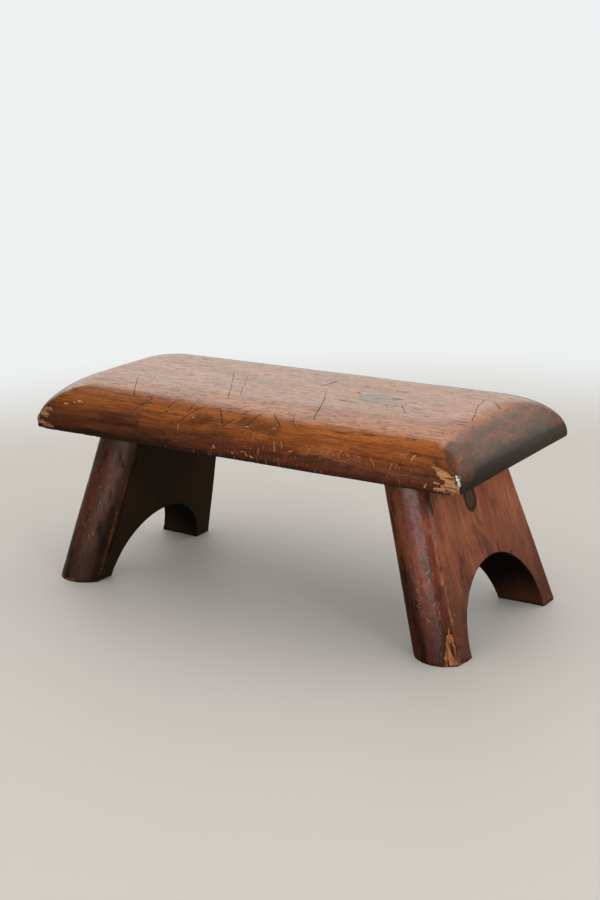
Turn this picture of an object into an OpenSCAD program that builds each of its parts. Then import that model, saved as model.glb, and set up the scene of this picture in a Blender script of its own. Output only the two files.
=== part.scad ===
// A low stool made of thick softwood plank: a top with all four edges rounded over,
// on two board legs that lean outward, flare towards the floor, have rounded noses
// on their front and back edges and a half-round arch cut through their feet.
// Each leg butts against the underside and is held there by three blind glued dowels.
// Length runs along X, width along Y, and the floor is z = 0 under the middle of the stool.

/* [Top board] */
// Length of the top, which is the length of the stool
top_length = 406; // [360:1:480]
// Width of the top
top_width = 190; // [180:1:230]
// Thickness of the plank that the top is made of
top_thick = 39; // [33:1:48]
// How far the round-over reaches in from each long side
side_round = 46.5; // [20:0.5:60]
// How far the round-over reaches in from each end
end_round = 29; // [15:0.5:50]
// Height of the square land left below the round-over
edge_land = 3; // [1:0.5:8]
// Fullness of the round-over, where 2 is a quarter of an ellipse and less is flatter
round_fullness = 1.8; // [1.4:0.1:2.6]
// Radius of the four corners, seen from above, at the lower edge
corner_radius = 3.5; // [2:0.5:20]
// Radius of the four corners, seen from above, where the flat of the top begins
crown_radius = 32; // [20:0.5:45]

/* [Legs] */
// Height from the floor to the underside of the top
leg_height = 137; // [115:1:170]
// Distance from each end of the top in to the outer face of the leg, at the underside
leg_inset = 45; // [40:1:70]
// Thickness of the plank that the legs are made of
leg_thick = 39.5; // [32:0.5:46]
// Lean of each leg away from the middle, in degrees
leg_splay = 16.5; // [8:0.5:18]
// Width of a leg's flat outer face where it meets the top
leg_top_width = 115; // [100:1:130]
// Width of a leg's flat outer face at the floor
leg_foot_width = 160; // [150:1:168]
// How far the rounded front and back edges swell past the flat faces
nose_depth = 10; // [4:0.5:16]
// Radius of the arch cut through each leg
arch_radius = 61.5; // [40:0.5:66]
// Height of the arch's centre, measured up the outer face from the floor
arch_rise = 0.5; // [0:0.5:12]

/* [Dowels] */
// Diameter of the dowels
dowel_dia = 12; // [8:0.5:14]
// Distance from one dowel to the next across the leg
dowel_spacing = 36; // [24:1:40]
// Length of each dowel that stands in the top
dowel_in_top = 24; // [16:1:27]
// Length of each dowel that stands in the leg
dowel_in_leg = 36; // [24:1:44]
// Width of the chamfer round both ends of a dowel
dowel_chamfer = 1.5; // [0.5:0.5:3]
// Radius of the glue groove along the side of a dowel
groove_radius = 1; // [0.5:0.5:2]
// Gap all round between a dowel and its bore
dowel_clearance = 0.1; // [0.05:0.05:0.2]
// Empty depth left for glue past each end of a dowel
glue_room = 2; // [1:0.5:4]

/* [Hidden] */

// How far every cut and trimmed blank runs past the faces it has to clear
overrun = 5;
// Steps in the round-over, and facets in a whole circle: of its corners, and of every other curve
round_steps = 20;
corner_facets = 32;
smooth = 96;
// Thickness of the slices that the round-over is stretched over
slice = 0.05;

// Which end of the stool a piece is at, and which row across it
left = -1;
right = 1;
front = -1;
middle = 0;
back = 1;

// The foot of the outer face, and the place of the joint up the middle of the board
foot_x = top_length / 2 - leg_inset + leg_height * tan(leg_splay);
joint_slope = (leg_height + leg_thick / 2 * sin(leg_splay)) / cos(leg_splay);

// The flare of the front and back edges, within the plane of the board
face_slope = leg_height / cos(leg_splay);
flare = atan((leg_foot_width - leg_top_width) / 2 / face_slope);

// The nose is an arc through both arrises of the board
nose_radius = (pow(leg_thick / 2, 2) + pow(nose_depth, 2)) / (2 * nose_depth);
nose_axis_inset = nose_radius - nose_depth;

// How far the blank of the leg has to climb so that its tilted end clears the top
blank_slope = face_slope + leg_thick * tan(leg_splay) + overrun;

// Distance that the round-over has come in, and climbed, at a step: both run from 0 to 1
function inward_share(step) = 1 - pow(cos(90 * step / round_steps), 2 / round_fullness);
function upward_share(step) = pow(sin(90 * step / round_steps), 2 / round_fullness);

// Half the width of the leg's flat face at a distance up its slope
function half_face(slope) = leg_foot_width / 2 - slope * tan(flare);

// One slice of the top at a height, drawn in from its ends and sides
module top_slice(height, end_in, side_in, radius) {
    for (x_way = [-1, 1], y_way = [-1, 1])
        translate([x_way * (top_length / 2 - end_in - radius),
                   y_way * (top_width / 2 - side_in - radius),
                   height])
            cylinder(h = slice, r = radius, $fn = corner_facets);
}

// The plank with its round-over, its underside at z = 0
module rounded_plank() {
    climb = top_thick - edge_land - slice;
    hull() {
        top_slice(0, 0, 0, corner_radius);
        for (step = [0 : round_steps])
            top_slice(edge_land + climb * upward_share(step),
                      end_round * inward_share(step),
                      side_round * inward_share(step),
                      corner_radius + (crown_radius - corner_radius) * inward_share(step));
    }
}

// Moves what is drawn in the leg board's own frame to the right leg's place. In that frame
// the outer face is x = 0, the board's thickness runs to -x, and +z climbs the slope.
module on_right_leg() {
    translate([foot_x, 0, 0])
        rotate([0, -leg_splay, 0])
            children();
}

// The flat middle of the board, which stops at the axes of the two noses
module leg_core() {
    low = -overrun;
    high = blank_slope;
    trim = nose_axis_inset / cos(flare);
    translate([overrun, 0, 0])
        rotate([90, 0, -90])
            linear_extrude(leg_thick + 2 * overrun)
                polygon([[-half_face(low) + trim, low],
                         [half_face(low) - trim, low],
                         [half_face(high) - trim, high],
                         [-half_face(high) + trim, high]]);
}

// The rounded nose along the back edge, as a long bar
module back_nose() {
    low = -overrun;
    bar = (blank_slope + 2 * overrun) / cos(flare);
    translate([-leg_thick / 2, half_face(low), low])
        rotate([flare, 0, 0])
            translate([0, -nose_axis_inset, -overrun])
                cylinder(h = bar, r = nose_radius, $fn = smooth);
}

// The board before its ends are cut, planed to its thickness
module leg_blank() {
    reach = leg_foot_width / 2 + nose_radius;
    intersection() {
        translate([-leg_thick, -reach, -overrun])
            cube([leg_thick, 2 * reach, blank_slope + overrun]);
        union() {
            leg_core();
            back_nose();
            mirror([0, 1, 0])
                back_nose();
        }
    }
}

// The cutter of the arch, square to the faces of the board
module arch_cutter() {
    cut = leg_thick + 2 * overrun;
    translate([-leg_thick - overrun, 0, arch_rise])
        rotate([0, 90, 0])
            cylinder(h = cut, r = arch_radius, $fn = smooth);
    translate([-leg_thick - overrun, -arch_radius, -2 * overrun])
        cube([cut, 2 * arch_radius, arch_rise + 2 * overrun]);
}

// The bore of one dowel in the right half, which runs in line with the leg through both pieces
module dowel_bore(row) {
    on_right_leg()
        translate([-leg_thick / 2, row * dowel_spacing, joint_slope - dowel_in_leg - glue_room])
            cylinder(h = dowel_in_leg + dowel_in_top + 2 * glue_room,
                     d = dowel_dia + 2 * dowel_clearance, $fn = smooth);
}

module dowel_bores() {
    for (row = [front, middle, back])
        dowel_bore(row);
}

// The right leg, its ends cut level with the floor and with the underside of the top
module leg() {
    difference() {
        intersection() {
            on_right_leg()
                leg_blank();
            translate([0, -top_width, 0])
                cube([top_length, 2 * top_width, leg_height]);
        }
        on_right_leg()
            arch_cutter();
        dowel_bores();
    }
}

// One dowel of the right half: a turned pin with chamfered ends and a groove for the glue
module pin(row) {
    radius = dowel_dia / 2;
    on_right_leg()
        translate([-leg_thick / 2, row * dowel_spacing, joint_slope])
            difference() {
                rotate_extrude($fn = smooth)
                    polygon([[0, -dowel_in_leg],
                             [radius - dowel_chamfer, -dowel_in_leg],
                             [radius, -dowel_in_leg + dowel_chamfer],
                             [radius, dowel_in_top - dowel_chamfer],
                             [radius - dowel_chamfer, dowel_in_top],
                             [0, dowel_in_top]]);
                translate([0, radius, -dowel_in_leg - overrun])
                    cylinder(h = dowel_in_leg + dowel_in_top + 2 * overrun,
                             r = groove_radius, $fn = smooth);
            }
}

// Puts a piece of the right half at either end of the stool
module at_end(end) {
    mirror([end == left ? 1 : 0, 0, 0])
        children();
}

module top_board() {
    color("sienna")
        difference() {
            translate([0, 0, leg_height])
                rounded_plank();
            for (end = [left, right])
                at_end(end)
                    dowel_bores();
        }
}

module left_leg() {
    color("saddlebrown")
        at_end(left)
            leg();
}

module right_leg() {
    color("saddlebrown")
        at_end(right)
            leg();
}

module dowel(end, row) {
    color("burlywood")
        at_end(end)
            pin(row);
}

top_board();
left_leg();
right_leg();
dowel(left, front);  // left_front_dowel
dowel(left, middle);  // left_middle_dowel
dowel(left, back);  // left_back_dowel
dowel(right, front);  // right_front_dowel
dowel(right, middle);  // right_middle_dowel
dowel(right, back);  // right_back_dowel
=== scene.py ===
import random
from math import asin, atan, atan2, cos, pi, radians, sin, sqrt, tan

import bmesh
import bpy
import numpy as np
from mathutils import Matrix, Vector, kdtree, noise


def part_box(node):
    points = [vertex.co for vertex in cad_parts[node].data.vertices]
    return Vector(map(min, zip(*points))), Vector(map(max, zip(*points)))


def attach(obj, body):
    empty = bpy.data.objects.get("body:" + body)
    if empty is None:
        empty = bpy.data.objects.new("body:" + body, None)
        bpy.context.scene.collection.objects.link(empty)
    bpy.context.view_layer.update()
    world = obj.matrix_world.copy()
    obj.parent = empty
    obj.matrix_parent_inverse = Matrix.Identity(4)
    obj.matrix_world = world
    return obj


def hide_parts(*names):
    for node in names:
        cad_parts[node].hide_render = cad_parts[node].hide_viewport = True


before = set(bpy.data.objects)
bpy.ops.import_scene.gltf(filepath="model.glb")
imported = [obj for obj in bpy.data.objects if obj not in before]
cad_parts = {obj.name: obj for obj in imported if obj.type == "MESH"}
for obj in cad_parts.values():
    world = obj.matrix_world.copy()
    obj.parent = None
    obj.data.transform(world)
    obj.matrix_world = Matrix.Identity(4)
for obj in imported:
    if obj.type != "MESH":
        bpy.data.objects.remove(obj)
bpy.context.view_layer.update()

mm = 0.001


def paint(red, green, blue):  # a colour as a picture shows it, 0 to 255, made linear
    shares = [channel / 255 for channel in (red, green, blue)]
    return tuple(c / 12.92 if c < 0.04045 else ((c + 0.055) / 1.055) ** 2.4 for c in shares) + (1.0,)


# Node trees

class Wire:  # a socket that can be added, multiplied and so on, each time by a Math node
    def __init__(self, board, socket):
        self.board, self.socket = board, socket

    def __add__(self, other):
        return self.board.math("ADD", self, other)

    def __sub__(self, other):
        return self.board.math("SUBTRACT", self, other)

    def __mul__(self, other):
        return self.board.math("MULTIPLY", self, other)

    def __truediv__(self, other):
        return self.board.math("DIVIDE", self, other)

    def __rsub__(self, other):
        return self.board.math("SUBTRACT", other, self)

    def __abs__(self):
        return self.board.math("ABSOLUTE", self)

    __radd__ = __add__
    __rmul__ = __mul__


class Board:  # a node tree and the ways to add to it
    def __init__(self, tree):
        self.tree = tree
        tree.nodes.clear()

    def node(self, kind, settings=None, sockets=None, output=0):
        made = self.tree.nodes.new("ShaderNode" + kind)
        for name, value in (settings or {}).items():
            setattr(made, name, value)
        for name, value in (sockets or {}).items():
            if isinstance(value, Wire):
                self.tree.links.new(value.socket, made.inputs[name])
            else:
                made.inputs[name].default_value = value
        return Wire(self, made.outputs[output])

    def show(self, surface, kind="Material"):
        output = self.tree.nodes.new("ShaderNodeOutput" + kind)
        self.tree.links.new(surface.socket, output.inputs["Surface"])

    def math(self, operation, *values):
        return self.node("Math", {"operation": operation}, dict(enumerate(values)))

    def vector(self, operation, *values, output=0):
        return self.node("VectorMath", {"operation": operation}, dict(enumerate(values)), output)

    def length(self, vector):
        return self.vector("LENGTH", vector, output=1)

    def scale(self, vector, factor):  # also makes a colour darker or lighter
        return self.node("VectorMath", {"operation": "SCALE"}, {0: vector, "Scale": factor})

    def combine(self, x, y, z):
        return self.node("CombineXYZ", None, {0: x, 1: y, 2: z})

    def split(self, vector):
        first = self.node("SeparateXYZ", None, {0: vector})
        return [Wire(self, output) for output in first.socket.node.outputs]

    def mix(self, share, first, second):  # colours
        return self.node("Mix", {"data_type": "RGBA"}, {0: share, 6: first, 7: second}, 2)

    def ease(self, value, low, high):  # 0 at low, 1 at high, smooth between; low may be the greater
        sockets = {"Value": value, "From Min": low, "From Max": high}
        return self.node("MapRange", {"interpolation_type": "SMOOTHSTEP"}, sockets)

    def noise(self, place, stretch, detail=2.0, rough=0.5, output=0):
        spread = self.vector("MULTIPLY", place, stretch)
        sockets = {"Vector": spread, "Scale": 1.0, "Detail": detail, "Roughness": rough}
        return self.node("TexNoise", None, sockets, output)

    def most(self, first, second):
        return self.math("MAXIMUM", first, second)

    def warp(self, place, stretch, amount):  # moves a place about by noise
        cloud = self.noise(place, stretch, 1.0, output=1)
        push = self.scale(self.vector("SUBTRACT", cloud, (0.5, 0.5, 0.5)), amount)
        return self.vector("ADD", place, push)

    def scatter(self, across, up, marks):  # short strokes, one to a cell, in both directions of a surface
        spread = self.combine(across * marks["cells"], up * marks["cells"], 0.0)
        settings = {"voronoi_dimensions": "2D", "feature": "F1"}
        outputs = self.node("TexVoronoi", settings, {"Vector": spread, "Scale": 1.0}).socket.node.outputs
        chance, angle, size = self.split(Wire(self, outputs["Color"]))
        centre = Wire(self, outputs["Position"])
        sideways, upward = self.split(self.vector("SUBTRACT", spread, centre))[:2]
        angle = (angle - 0.5) * marks["swing"] + marks["tilt"]
        cosine, sine = self.math("COSINE", angle), self.math("SINE", angle)
        along = abs(sideways * cosine + upward * sine)
        aside = abs(upward * cosine - sideways * sine)
        stroke = self.ease(along / (size * 0.7 + 0.3), marks["long"], marks["long"] * 0.6)
        stroke = stroke * self.ease(aside, marks["wide"], marks["wide"] * 0.4)
        return stroke * self.ease(chance, marks["share"] + 0.05, marks["share"])

    def attribute(self, name, output=1):
        return self.node("Attribute", {"attribute_name": name}, None, output)

    def nearest(self, fields):
        least = fields[0]
        for field in fields[1:]:
            least = self.math("MINIMUM", least, field)
        return least

    def bump(self, height):  # height in metres
        return self.node("Bump", None, {"Strength": 1.0, "Distance": 1.0, "Height": height})

    def rays(self):  # 1 for what the camera sees, and 1 for what gloss mirrors
        outputs = self.node("LightPath").socket.node.outputs
        return Wire(self, outputs["Is Camera Ray"]), Wire(self, outputs["Is Glossy Ray"])


def newMaterial(name):
    material = bpy.data.materials.new(name)
    material.use_nodes = True
    return material, Board(material.node_tree)


# Marks, each by its distance from a point or a stroke

def strokes(b, place, marks):  # each mark is x1, y1, x2, y2 and width in mm; less than 1 is inside one
    fields = []
    for x1, y1, x2, y2, width in marks:
        start = Vector((x1, y1, 0)) * mm
        run = Vector((x2, y2, 0)) * mm - start
        reach = run.length
        run.normalize()
        here = b.vector("SUBTRACT", place, tuple(start))
        along = b.vector("DOT_PRODUCT", here, tuple(run), output=1)
        along = b.node("Clamp", None, {"Value": along, "Min": 0.0, "Max": reach})
        foot = b.scale(tuple(run), along)
        gap = b.vector("DISTANCE", here, foot, output=1)
        fields.append(gap / (width * mm / 2))
    return b.nearest(fields)


def drawn(b, place, marks, core, rim):  # 1 inside the strokes and 0 outside
    return b.ease(strokes(b, place, marks), rim, core)


def spots(b, place, marks):  # each mark is x, y, z and radius in mm; less than 1 is inside one
    fields = []
    for x, y, z, radius in marks:
        gap = b.vector("DISTANCE", place, tuple(Vector((x, y, z)) * mm), output=1)
        fields.append(gap / (radius * mm))
    return b.nearest(fields)


# Wood, seen as a solid block. Its place runs along the grain, across it, and into the plank.

def growWood(b, place, wood):
    along, across, depth = b.split(place)
    seed = wood["seed"]
    place = b.vector("ADD", place, (seed, seed * 0.7, seed * 0.3))
    sway = b.noise(place, (3, 14, 14), 2) - 0.5
    reach = b.length(b.combine(0.0, across - wood["pith"][0], depth - wood["pith"][1]))
    reach = reach + sway * wood["sway"]
    knots = []
    bent = b.warp(b.combine(along, across, 0.0), (120, 120, 0), 0.004)
    along, across = b.split(bent)[:2]
    for knotAlong, knotAcross, size, swell in wood["knots"]:
        aside = b.combine((along - knotAlong) / (size * 1.3), (across - knotAcross) / size, 0.0)
        aside = b.length(aside)
        knots.append(aside)
        reach = reach + b.math("EXPONENT", aside * aside * -0.28) * swell
    pace = b.noise(place, (1.5, 60, 60), 1) * 0.9 + 0.55  # rings of uneven width
    saw = b.math("FRACT", reach / wood["ring"] + pace * 1.6)
    late = b.ease(saw, 0.25, 0.86) * b.ease(saw, 1.0, 0.88)
    late = late * b.ease(b.noise(place, (9, 60, 60), 2), 0.40, 0.62)
    fibre = b.noise(place, (48, 640, 640), 4, 0.75)
    streak = b.noise(place, (18, 270, 270), 4, 0.7)
    short = b.ease(b.noise(place, (130, 1050, 1050), 1), 0.60, 0.68)
    dash = b.most(short, b.ease(b.noise(place, (60, 700, 700), 1), 0.64, 0.71))
    blotch = b.noise(place, (12, 42, 42), 4, 0.62)
    colour = b.mix(late * wood["contrast"], wood["early"], wood["late"])
    colour = b.mix(b.ease(streak, 0.46, 0.68) * wood["streaks"], colour, wood["late"])
    colour = b.mix(b.ease(blotch, 0.44, 0.62) * wood["blotches"], colour, wood["blotch"])
    colour = b.scale(colour, fibre * 1.4 + 0.3)
    return {"colour": colour, "late": late, "fibre": fibre, "streak": streak, "dash": dash, "blotch": blotch,
            "knots": b.nearest(knots) if knots else None}


# Ageing of a board's mesh: rubbed arrises, waves left by the plane, dents and chips

ageing = {  # what the three boards share, in metres
    "arrisAngle": 0.4,  # radians between two faces, past which they meet in an arris
    "arrisReach": 0.003,  # how far back an arris is rubbed
    "patchSize": 0.02, "leastRub": 0.35, "rubStep": 0.6,
    "waveSize": 0.05, "rippleSize": 0.009,
    "nicks": 50, "nickDepth": 0.0003, "nickShares": (0.3, 1.0), "nickRadius": (0.0012, 0.0032),
    "nickFlat": 0.35, "nickReach": 1.5,  # its full depth and its last trace, as shares of its radius
    "raggedness": 0.45, "raggedSize": 0.6,  # of its rim, the size as a share of its radius
}


def wander(point, size, seed):  # smooth noise, about -1 to 1, with bumps about size across
    return noise.noise(Vector(point) / size + Vector((seed, -seed, seed * 0.5)))


def easeNumber(value, low, high):
    share = min(max((value - low) / (high - low), 0), 1)
    return share * share * (3 - 2 * share)


def readVectors(items, name):
    flat = np.empty(len(items) * 3)
    items.foreach_get(name, flat)
    return flat.reshape(-1, 3)


def writePoints(mesh, points):
    mesh.vertices.foreach_set("co", points.ravel())
    mesh.update()


def storeValues(mesh, name, values, kind="FLOAT", field="value"):
    made = mesh.attributes.new(name, kind, "POINT")
    made.data.foreach_set(field, np.asarray(values, dtype=np.float32).ravel())


def gridFaces(grid):  # four-sided faces between the point numbers of a grid
    rows = grid.tolist()
    return [(low[step], high[step], high[step + 1], low[step + 1])
            for low, high in zip(rows, rows[1:]) for step in range(len(low) - 1)]


weldGap = 0.00002  # points nearer than this are one
sliver = 0.000002  # and edges shorter than this go


def joinMesh(name, points, faces, places):
    mesh = bpy.data.meshes.new(name)
    mesh.from_pydata([tuple(p) for p in points], [], faces)
    storeValues(mesh, "boardPlace", places, "FLOAT_VECTOR", "vector")
    work = bmesh.new()
    work.from_mesh(mesh)
    bmesh.ops.remove_doubles(work, verts=work.verts, dist=weldGap)
    bmesh.ops.dissolve_degenerate(work, edges=work.edges, dist=sliver)
    bmesh.ops.recalc_face_normals(work, faces=work.faces)
    for face in work.faces:
        face.smooth = True
    work.to_mesh(mesh)
    work.free()
    return mesh


def arrisPoints(mesh):  # the points on its arrises, and the two ends of every edge
    work = bmesh.new()
    work.from_mesh(mesh)
    arrises = [e for e in work.edges if e.calc_face_angle(0) > ageing["arrisAngle"]]
    sharp = {v.index for e in arrises for v in e.verts}
    pairs = np.array([[v.index for v in e.verts] for e in work.edges])
    work.free()
    return sorted(sharp), pairs


def pointTree(points, picked):
    tree = kdtree.KDTree(len(picked))
    for index in picked:
        tree.insert(points[index], index)
    tree.balance()
    return tree


def ageMesh(mesh, age, chips, kept):  # kept is 1 where a point stays as it is
    points = readVectors(mesh.vertices, "co")
    sharp, pairs = arrisPoints(mesh)
    arrises = pointTree(points, sharp)
    gaps = np.array([arrises.find(p)[2] for p in points])
    patchy = np.array([0.5 + 0.5 * wander(p, ageing["patchSize"], age["seed"]) for p in points])
    free = np.array([1 - kept(p) for p in points])
    closeness = np.clip(1 - gaps / ageing["arrisReach"], 0, 1) * free
    pull = (closeness * (ageing["leastRub"] + (1 - ageing["leastRub"]) * patchy))[:, None]
    count = np.zeros(len(points))
    np.add.at(count, pairs.ravel(), 1)
    for turn in range(age["arrisTurns"]):  # rubs the arrises round
        total = np.zeros_like(points)
        np.add.at(total, pairs[:, 0], points[pairs[:, 1]])
        np.add.at(total, pairs[:, 1], points[pairs[:, 0]])
        points += (total / count[:, None] - points) * pull * ageing["rubStep"]
    writePoints(mesh, points)
    normals = readVectors(mesh.vertex_normals, "vector")
    push = np.array([age["wave"] * wander(p, ageing["waveSize"], age["seed"] + 3)
                     + age["ripple"] * wander(p, ageing["rippleSize"], age["seed"] + 7) for p in points])
    draws = random.Random(age["seed"])
    dents = [(points[draws.choice(sharp)], draws.uniform(*ageing["nickRadius"]),
              draws.uniform(*ageing["nickShares"]) * ageing["nickDepth"]) for each in range(ageing["nicks"])]
    dents += [(Vector(chip[:3]) * mm, chip[3] * mm, chip[4] * mm) for chip in chips]
    everyPoint = pointTree(points, range(len(points)))
    for centre, radius, depth in dents:
        for place, index, gap in everyPoint.find_range(centre, radius * ageing["nickReach"]):
            rim = wander(place, radius * ageing["raggedSize"], age["seed"] + 11) * ageing["raggedness"]
            push[index] -= depth * easeNumber(gap / radius * (1 + rim), 1, ageing["nickFlat"])
    points += normals * (push * free)[:, None]
    points[:, 2] = np.maximum(points[:, 2], 0)  # nothing sinks into the floor
    writePoints(mesh, points)
    storeValues(mesh, "edgeShare", closeness)


def addObject(name, data):
    made = bpy.data.objects.new(name, data)
    bpy.context.scene.collection.objects.link(made)
    return made


def addPiece(name, mesh, material, node):
    piece = addObject(name, mesh)
    mesh.materials.append(material)
    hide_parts(node)
    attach(piece, "root")


def spread(count, crowding):  # shares from 0 to 1, crowded towards both ends
    shares = np.linspace(0, 1, count)
    return shares - crowding * np.sin(2 * np.pi * shares) / (2 * np.pi)


# The top

top = {
    "sideRound": 0.0465,  # how far the round-over reaches in from each long side
    "endRound": 0.029,  # and from each end
    "land": 0.003,  # square edge left under the round-over
    "fullness": 1.8,  # 2 is a quarter of an ellipse
    "cornerRadius": 0.0035,  # of the corners, at the lower edge
    "crownRadius": 0.032,  # and where the flat begins
    "hipSoftness": 0.1,  # 0 is a crisp hip at the corners, 1 a round one
    "endSkew": 0.0153,  # the right end was sawn this much out of square
    "alongSteps": 240, "acrossSteps": 104, "cornerSteps": 22,
    "roundSteps": 48, "flatSteps": 26, "underSteps": 18,
    "landSteps": (0.25, 0.5, 0.75, 0.9, 1.0),  # shares of the land, from its top down
    "rimSteps": (0.995, 0.985), "underCrowding": 1.7,  # of the rings under the edge
}

topAge = {"seed": 5, "arrisTurns": 7, "wave": 0.00025, "ripple": 0.00006}

# Chips: x, y, z, radius and depth in mm
topChips = [
    (-204, -96, 136, 7, 2.2), (203.5, -92, 149, 1.8, -0.8), (204, -91.5, 145.5, 1.6, -0.8),
    (202, -93, 147, 1.4, -0.6), (-203, -93, 141, 6, 0.8), (-198, -91, 150, 5, 0.6),
    (-193, -95, 139, 5, 0.7), (-199, -95, 138, 5, 0.7), (198, -93, 147, 6, 0.7), (190, -94, 142, 6, 0.5),
    (203, -94, 139, 4, 0.6), (-43, -86, 160, 3, 0.4), (163, -88, 157, 3, 0.5), (12, -95, 144, 3, 0.4),
    (57, -94, 146, 3, 0.4),
]

topLow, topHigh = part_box("top_board")
under, over = topLow[2], topHigh[2]
halfLong, halfWide = topHigh[0], topHigh[1]


def roundOver(steps):  # the round-over from the edge to the crown, in even steps along its curve
    samples = 2000  # to measure the curve by
    angles = np.linspace(0, np.pi / 2, samples)
    inward = 1 - np.cos(angles) ** (2 / top["fullness"])
    upward = np.sin(angles) ** (2 / top["fullness"])
    rise = over - under - top["land"]
    arcs = []
    for reach in (top["sideRound"], top["endRound"]):
        run = np.hypot(np.diff(inward) * reach, np.diff(upward) * rise)
        arcs.append(np.concatenate([[0], np.cumsum(run)]))
    sideArc, endArc = arcs
    picks = np.interp(np.linspace(0, sideArc[-1], steps + 1), sideArc, np.arange(samples)).astype(int)
    return [(inward[i], upward[i], sideArc[-1] - sideArc[i], endArc[-1] - endArc[i]) for i in picks]


def ring(inward, upward):  # the outline some way in and up: x, y, and how far it faces the end and the side
    halfX = halfLong - top["endRound"] * inward
    halfY = halfWide - top["sideRound"] * inward
    share = inward + (upward - inward) * top["hipSoftness"]
    radius = top["cornerRadius"] + (top["crownRadius"] - top["cornerRadius"]) * share
    straightX = np.linspace(-1, 1, top["alongSteps"] + 1) * (halfX - radius)
    straightY = np.linspace(-1, 1, top["acrossSteps"] + 1) * (halfY - radius)
    bend = np.linspace(0, np.pi / 2, top["cornerSteps"] + 1)[1:-1]
    half = [(x, -halfY, 0, 1) for x in straightX]
    for turn in bend:
        sine, cosine = sin(turn), cos(turn)
        half.append((halfX - radius + radius * sine, -halfY + radius - radius * cosine, sine, cosine))
    half += [(halfX, y, 1, 0) for y in straightY]
    for turn in bend:
        sine, cosine = sin(turn), cos(turn)
        half.append((halfX - radius + radius * cosine, halfY - radius + radius * sine, cosine, sine))
    half = np.array(half)
    return np.concatenate([half, half * (-1, -1, 1, 1)]), halfX, halfY  # and the same again, half a turn on


def topMesh():
    rings, places = [], []
    crown, crownX, crownY = ring(1, 1)
    spine = np.column_stack([np.clip(crown[:, 0], crownY - crownX, crownX - crownY), np.zeros(len(crown))])
    for share in np.linspace(0, 1, top["flatSteps"] + 1)[:-1]:  # the flat, from its middle line out
        flat = spine + (crown[:, :2] - spine) * share
        rings.append(np.column_stack([flat, np.full(len(flat), over)]))
        places.append(np.column_stack([flat, np.zeros(len(flat))]))
    for inward, upward, sideArc, endArc in reversed(roundOver(top["roundSteps"])):
        rows, halfX, halfY = ring(inward, upward)
        height = under + top["land"] + (over - under - top["land"]) * upward
        rings.append(np.column_stack([rows[:, :2], np.full(len(rows), height)]))
        spareX = crownX + endArc - halfX
        spareY = crownY + sideArc - halfY
        places.append(np.column_stack([rows[:, 0] + np.sign(rows[:, 0]) * rows[:, 2] * spareX,
                                       rows[:, 1] + np.sign(rows[:, 1]) * rows[:, 3] * spareY,
                                       np.zeros(len(rows))]))
    edge = rings[-1]
    for drop in top["landSteps"]:  # the land
        lowered = edge.copy()
        lowered[:, 2] = under + top["land"] * (1 - drop)
        rings.append(lowered)
        shifted = places[-1].copy()
        shifted[:, 2] = -top["land"] * drop
        places.append(shifted)
    spineX = np.clip(edge[:, 0], halfWide - halfLong, halfLong - halfWide)
    spine = np.column_stack([spineX, np.zeros(len(edge))])
    shares = 1 - np.linspace(0, 1, top["underSteps"] + 1)[1:] ** top["underCrowding"]
    for share in np.concatenate([top["rimSteps"], shares]):  # the underside
        flat = spine + (edge[:, :2] - spine) * share
        rings.append(np.column_stack([flat, np.full(len(flat), under)]))
        places.append(np.column_stack([flat, np.full(len(flat), under - over)]))
    grid = np.arange(len(rings) * len(crown)).reshape(len(rings), -1)
    faces = gridFaces(np.column_stack([grid, grid[:, :1]]))
    points = np.concatenate(rings)
    points[:, 0] -= top["endSkew"] * points[:, 1] * np.clip(points[:, 0] / halfLong, 0, 1)
    return joinMesh("topBoard", points, faces, np.concatenate(places))


# Wood of the top, in metres and colours
topWood = {
    "seed": 1.3, "pith": (0.11, 0.03), "ring": 0.0034, "sway": 0.014,
    "contrast": 0.3, "streaks": 0.35, "blotches": 0.4,
    "early": paint(186, 102, 26), "late": paint(96, 44, 10), "blotch": paint(134, 62, 14),
    "knots": [(0.0852, -0.009, 0.013, 0.010)],
}

topFinish = {
    "lower": paint(88, 29, 13), "lowerLeft": paint(78, 38, 16),  # redder varnish low on the round-over
    "edge": paint(30, 15, 7),  # darkest brown: painted shade along the bottom edge, and the dark of veins, patches and chip rims
    "grime": paint(36, 37, 28), "grimeBackSheen": paint(66, 63, 54),  # on the ends; the soot lighter towards the back is a painted sheen
    "grimeWarm": paint(88, 58, 38), "grimeRed": paint(144, 74, 42),
    "raw": paint(204, 148, 100), "rawDark": paint(126, 76, 44),  # bare wood where the varnish is knocked off
    "knot": paint(112, 92, 80), "scratch": paint(40, 32, 26), "nick": paint(200, 150, 124),
    "dent": paint(120, 52, 20), "resin": paint(58, 30, 26), "paintedGlint": paint(248, 240, 240),
    "roughness": 0.34,
}

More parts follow.
